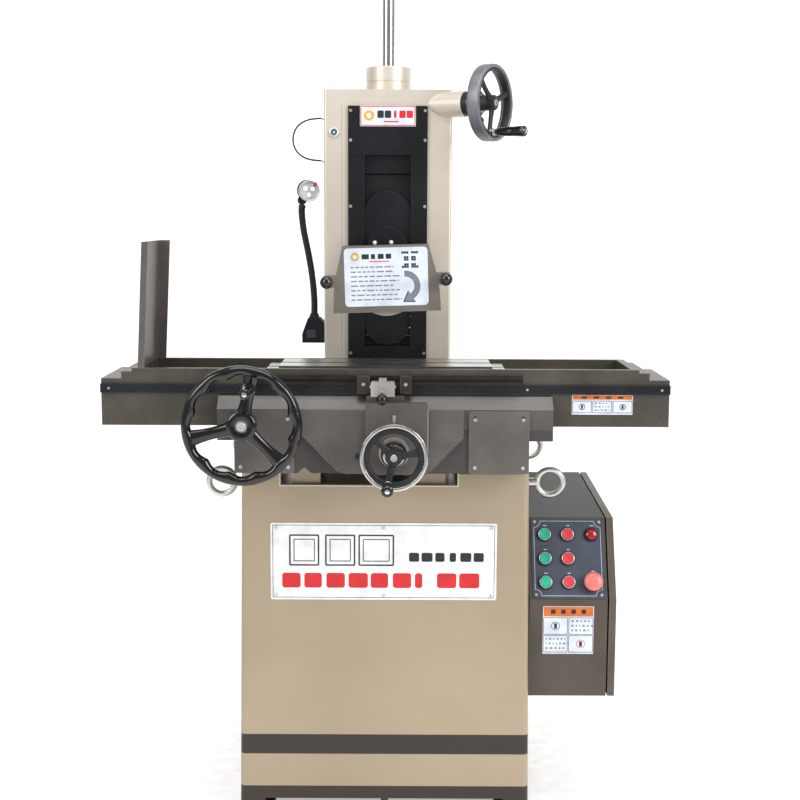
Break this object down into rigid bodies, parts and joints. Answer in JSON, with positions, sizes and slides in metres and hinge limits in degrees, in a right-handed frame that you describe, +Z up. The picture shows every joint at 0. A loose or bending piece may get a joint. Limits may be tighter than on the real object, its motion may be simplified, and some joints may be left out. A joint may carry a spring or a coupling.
{
  "type": "surface grinder",
  "caption": "Manual surface grinder: column and base castings, cross saddle, sliding table, lifting wheel head, handwheels, lamp and side electrical cabinet.",
  "frame": {"origin": "centre of the base's footprint, on the floor", "axes": "+X to the operator's right along the table's travel, +Y towards the back along the saddle's travel, +Z up along the head's travel"},
  "size_m": [1.206, 0.9893, 1.93],
  "materials": {
    "beige_enamel": "satin metallic enamel",
    "grey_hammer": "hammered enamel",
    "brown_enamel": "satin enamel",
    "black_paint": "satin",
    "control_blue": "satin",
    "ground_steel": "ground",
    "chrome": "polished",
    "bearing_iron": "machined",
    "bakelite": "gloss",
    "wheel_iron": "painted and machined",
    "cast_aluminium": "cast",
    "white_plate": "printed",
    "abrasive": "rough",
    "neck_plastic": "satin",
    "green_plastic": "gloss",
    "red_plastic": "gloss"
  },
  "bodies": {
    "base": {"base_casting": "beige_enamel", "eye_bolts": "ground_steel", "nameplate": "white_plate", "column_casting": "beige_enamel", "column_panel": "black_paint", "rear_cover": "brown_enamel", "casing_screws": "ground_steel", "top_flange": "beige_enamel", "elevation_arm": "beige_enamel", "oil_line": "neck_plastic", "lamp_base": "black_paint", "cabinet": "brown_enamel", "control_panel": "control_blue", "contactor_rack": "neck_plastic", "button_bezels": "ground_steel"},
    "saddle": {"saddle_casting": "grey_hammer", "apron": "grey_hammer", "cover_plates": "grey_hammer", "feed_bearings": "bearing_iron", "stop_bracket": "cast_aluminium"},
    "stop": {"stop_block": "cast_aluminium"},
    "table": {"table_casting": "grey_hammer", "platen": "ground_steel", "front_strip": "black_paint", "dog_rail": "black_paint", "splash_guard": "grey_hammer"},
    "left_dog": {"left_dog": "black_paint"},
    "right_dog": {"right_dog": "black_paint"},
    "table_wheel": {"table_wheel": "bakelite", "wheel_shaft": "ground_steel"},
    "table_handle": {"table_handle": "bakelite"},
    "layshaft": {"layshaft": "ground_steel"},
    "cross_wheel": {"cross_wheel": "wheel_iron", "cross_screw": "ground_steel"},
    "cross_handle": {"cross_handle": "bakelite"},
    "elevation_wheel": {"elevation_wheel": "wheel_iron", "elevation_shaft": "ground_steel"},
    "elevation_handle": {"elevation_handle": "bakelite"},
    "lift_nut": {"lift_nut": "bearing_iron"},
    "head": {"head_casting": "black_paint", "lift_screw": "chrome", "spindle_motor": "black_paint", "wheel_guard": "grey_hammer", "guard_cover": "grey_hammer"},
    "guard_knob_left": {"guard_knob_left": "bakelite"},
    "guard_knob_right": {"guard_knob_right": "bakelite"},
    "spindle": {"spindle": "ground_steel", "wheel_flanges": "ground_steel", "grinding_wheel": "abrasive"},
    "lamp_neck": {"lamp_neck": "neck_plastic"},
    "lamp_head": {"lamp_head": "cast_aluminium"},
    "lamp_switch": {"lamp_switch": "red_plastic"},
    "cabinet_door": {"cabinet_door": "brown_enamel"},
    "emergency_stop": {"emergency_stop": "red_plastic"},
    "button_green_top": {"button_green_top": "green_plastic"},
    "button_green_middle": {"button_green_middle": "green_plastic"},
    "button_green_bottom": {"button_green_bottom": "green_plastic"},
    "button_red_top": {"button_red_top": "red_plastic"},
    "button_red_middle": {"button_red_middle": "red_plastic"},
    "button_red_bottom": {"button_red_bottom": "red_plastic"}
  },
  "joints": [
    {"name": "saddle_slide", "type": "slide", "parent": "base", "child": "saddle", "axis": [0, 1, 0], "range_m": [-0.02, 0.14]},
    {"name": "cross_wheel_turn", "type": "hinge", "parent": "saddle", "child": "cross_wheel", "pos_m": [0.019, -0.515, 0.839], "axis": [0, 1, 0], "range_deg": [-1441, 10081]},
    {"name": "cross_handle_spin", "type": "hinge", "parent": "cross_wheel", "child": "cross_handle", "pos_m": [0.00618, -0.515, 0.78346], "axis": [0, 1, 0], "continuous": true},
    {"name": "table_slide", "type": "slide", "parent": "saddle", "child": "table", "axis": [1, 0, 0], "range_m": [-0.24, 0.24]},
    {"name": "table_wheel_turn", "type": "hinge", "parent": "saddle", "child": "table_wheel", "pos_m": [-0.2905, -0.525, 0.9046], "axis": [0, 1, 0], "range_deg": [-1020, 1020]},
    {"name": "layshaft_turn", "type": "hinge", "parent": "saddle", "child": "layshaft", "pos_m": [-0.2905, -0.3, 0.8746], "axis": [0, 1, 0], "range_deg": [-1020, 1020]},
    {"name": "table_handle_spin", "type": "hinge", "parent": "table_wheel", "child": "table_handle", "pos_m": [-0.27449, -0.525, 0.97992], "axis": [0, 1, 0], "continuous": true},
    {"name": "left_dog_slide", "type": "slide", "parent": "table", "child": "left_dog", "axis": [1, 0, 0], "range_m": [-0.22, 0]},
    {"name": "right_dog_slide", "type": "slide", "parent": "table", "child": "right_dog", "axis": [1, 0, 0], "range_m": [0, 0.22]},
    {"name": "stop_push", "type": "slide", "parent": "saddle", "child": "stop", "axis": [0, 1, 0], "range_m": [0, 0.012]},
    {"name": "elevation_wheel_turn", "type": "hinge", "parent": "base", "child": "elevation_wheel", "pos_m": [0.23899, -0.06788, 1.587], "axis": [0.8536, -0.521, 0], "range_deg": [-29701, 17101]},
    {"name": "elevation_handle_spin", "type": "hinge", "parent": "elevation_wheel", "child": "elevation_handle", "pos_m": [0.23284, -0.07796, 1.52003], "axis": [0.8536, -0.521, 0], "continuous": true},
    {"name": "lift_nut_turn", "type": "hinge", "parent": "base", "child": "lift_nut", "pos_m": [0, 0.078, 1.6], "axis": [0, 0, 1], "range_deg": [-14851, 8551]},
    {"name": "head_slide", "type": "slide", "parent": "base", "child": "head", "axis": [0, 0, 1], "range_m": [-0.095, 0.165]},
    {"name": "guard_knob_left_turn", "type": "hinge", "parent": "head", "child": "guard_knob_left", "pos_m": [-0.13106, -0.245, 1.18388], "axis": [0, 1, 0], "continuous": true},
    {"name": "guard_knob_right_turn", "type": "hinge", "parent": "head", "child": "guard_knob_right", "pos_m": [0.13081, -0.245, 1.19211], "axis": [0, 1, 0], "continuous": true},
    {"name": "spindle_spin", "type": "hinge", "parent": "head", "child": "spindle", "pos_m": [0, -0.225, 1.184], "axis": [0, 1, 0], "continuous": true},
    {"name": "lamp_swivel", "type": "hinge", "parent": "base", "child": "lamp_neck", "pos_m": [-0.178, 0.055, 1.084], "axis": [0, 0, 1], "range_deg": [-45, 20]},
    {"name": "lamp_tilt", "type": "hinge", "parent": "lamp_neck", "child": "lamp_head", "pos_m": [-0.206, 0.047, 1.365], "axis": [1, 0, 0], "range_deg": [-20, 25]},
    {"name": "lamp_switch_press", "type": "slide", "parent": "lamp_head", "child": "lamp_switch", "axis": [-0.2205, 0.9721, 0.0802], "range_m": [0, 0.0015]},
    {"name": "cabinet_door_hinge", "type": "hinge", "parent": "base", "child": "cabinet_door", "pos_m": [0.49175, 0.192, 0.475], "axis": [0, 0, 1], "range_deg": [0, 110]},
    {"name": "emergency_stop_press", "type": "slide", "parent": "base", "child": "emergency_stop", "axis": [0, 0.9029, -0.4299], "range_m": [0, 0.004], "stiffness_N_per_m": 900},
    {"name": "button_green_top_press", "type": "slide", "parent": "base", "child": "button_green_top", "axis": [0, 0.9029, -0.4299], "range_m": [0, 0.0015], "stiffness_N_per_m": 600},
    {"name": "button_green_middle_press", "type": "slide", "parent": "base", "child": "button_green_middle", "axis": [0, 0.9029, -0.4299], "range_m": [0, 0.0015], "stiffness_N_per_m": 600},
    {"name": "button_green_bottom_press", "type": "slide", "parent": "base", "child": "button_green_bottom", "axis": [0, 0.9029, -0.4299], "range_m": [0, 0.0015], "stiffness_N_per_m": 600},
    {"name": "button_red_top_press", "type": "slide", "parent": "base", "child": "button_red_top", "axis": [0, 0.9029, -0.4299], "range_m": [0, 0.0015], "stiffness_N_per_m": 600},
    {"name": "button_red_middle_press", "type": "slide", "parent": "base", "child": "button_red_middle", "axis": [0, 0.9029, -0.4299], "range_m": [0, 0.0015], "stiffness_N_per_m": 600},
    {"name": "button_red_bottom_press", "type": "slide", "parent": "base", "child": "button_red_bottom", "axis": [0, 0.9029, -0.4299], "range_m": [0, 0.0015], "stiffness_N_per_m": 600}
  ],
  "couplings": [
    {"joint": "cross_wheel_turn", "follows": "saddle_slide", "rad_per_m": 1256.6},
    {"joint": "table_wheel_turn", "follows": "table_slide", "rad_per_m": -74.074},
    {"joint": "layshaft_turn", "follows": "table_slide", "rad_per_m": 74.074},
    {"joint": "lift_nut_turn", "follows": "head_slide", "rad_per_m": -1570.8},
    {"joint": "elevation_wheel_turn", "follows": "head_slide", "rad_per_m": -3141.6}
  ]
}
